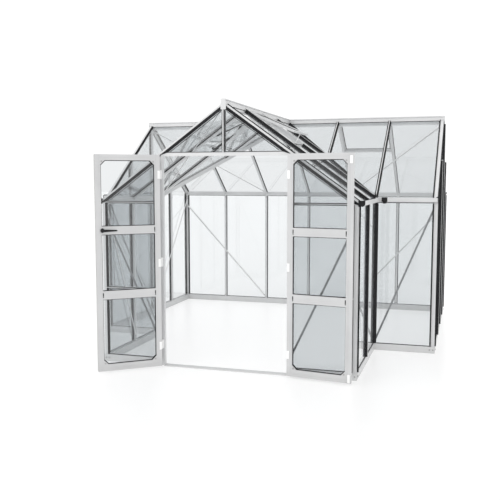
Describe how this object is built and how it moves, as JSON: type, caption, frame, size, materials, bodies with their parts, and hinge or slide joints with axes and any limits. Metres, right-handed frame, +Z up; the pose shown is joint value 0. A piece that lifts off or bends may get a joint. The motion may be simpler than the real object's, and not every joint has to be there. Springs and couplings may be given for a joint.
{
  "type": "glass greenhouse",
  "caption": "Walk-in glazed garden building on a T-shaped plan: an aluminium-framed gabled range with a gabled porch wing and outward-opening double doors.",
  "frame": {"origin": "on the ground, in the middle of the doorway, on the underside of the door threshold and in the outer glass plane of the porch front", "axes": "+X to the right for someone walking in, +Y into the building, +Z up"},
  "size_m": [3.768, 4.2481, 2.528],
  "materials": {
    "aluminium_frame": "plain mill aluminium, light and satin",
    "glass": "clear toughened sheet with a faint blue-grey cast",
    "black_plastic": "moulded black plastic",
    "white_plastic": "moulded white plastic"
  },
  "bodies": {
    "building": {"front_and_back_sills": "aluminium_frame", "side_sills": "aluminium_frame", "door_threshold": "aluminium_frame", "corner_posts": "aluminium_frame", "door_posts": "aluminium_frame", "door_lintel": "aluminium_frame", "porch_front_bars": "aluminium_frame", "porch_side_bars": "aluminium_frame", "gable_end_bars": "aluminium_frame", "back_wall_bars": "aluminium_frame", "porch_ridge": "aluminium_frame", "main_ridge": "aluminium_frame", "valley_bars": "aluminium_frame", "porch_eave_beams": "aluminium_frame", "range_eave_beams": "aluminium_frame", "porch_gutters": "aluminium_frame", "range_gutters": "aluminium_frame", "gutter_end_caps": "black_plastic", "gable_rafters": "aluminium_frame", "porch_roof_bars": "aluminium_frame", "range_front_roof_bars": "aluminium_frame", "back_roof_bars": "aluminium_frame", "vent_sills": "aluminium_frame", "porch_front_glass": "glass", "porch_side_glass": "glass", "range_front_glass": "glass", "gable_end_glass": "glass", "back_wall_glass": "glass", "porch_roof_glass": "glass", "range_front_roof_glass": "glass", "back_roof_glass": "glass", "roof_vents": "aluminium_frame", "vent_glass": "glass", "vent_stays": "aluminium_frame", "wall_braces": "aluminium_frame", "roof_braces": "aluminium_frame", "hinge_brackets": "white_plastic"},
    "left_door": {"left_door_frame": "aluminium_frame", "left_door_glass": "glass", "left_door_hinges": "white_plastic", "left_door_handle": "black_plastic"},
    "right_door": {"right_door_frame": "aluminium_frame", "right_door_glass": "glass", "right_door_hinges": "white_plastic", "right_door_bolts": "white_plastic"}
  },
  "joints": [
    {"name": "left_door_swing", "type": "hinge", "parent": "building", "child": "left_door", "pos_m": [-0.62, -0.044, 0], "axis": [0, 0, 1], "range_deg": [-34, 141]},
    {"name": "right_door_swing", "type": "hinge", "parent": "building", "child": "right_door", "pos_m": [0.62, -0.044, 0], "axis": [0, 0, -1], "range_deg": [-3.5, 171.5]}
  ]
}
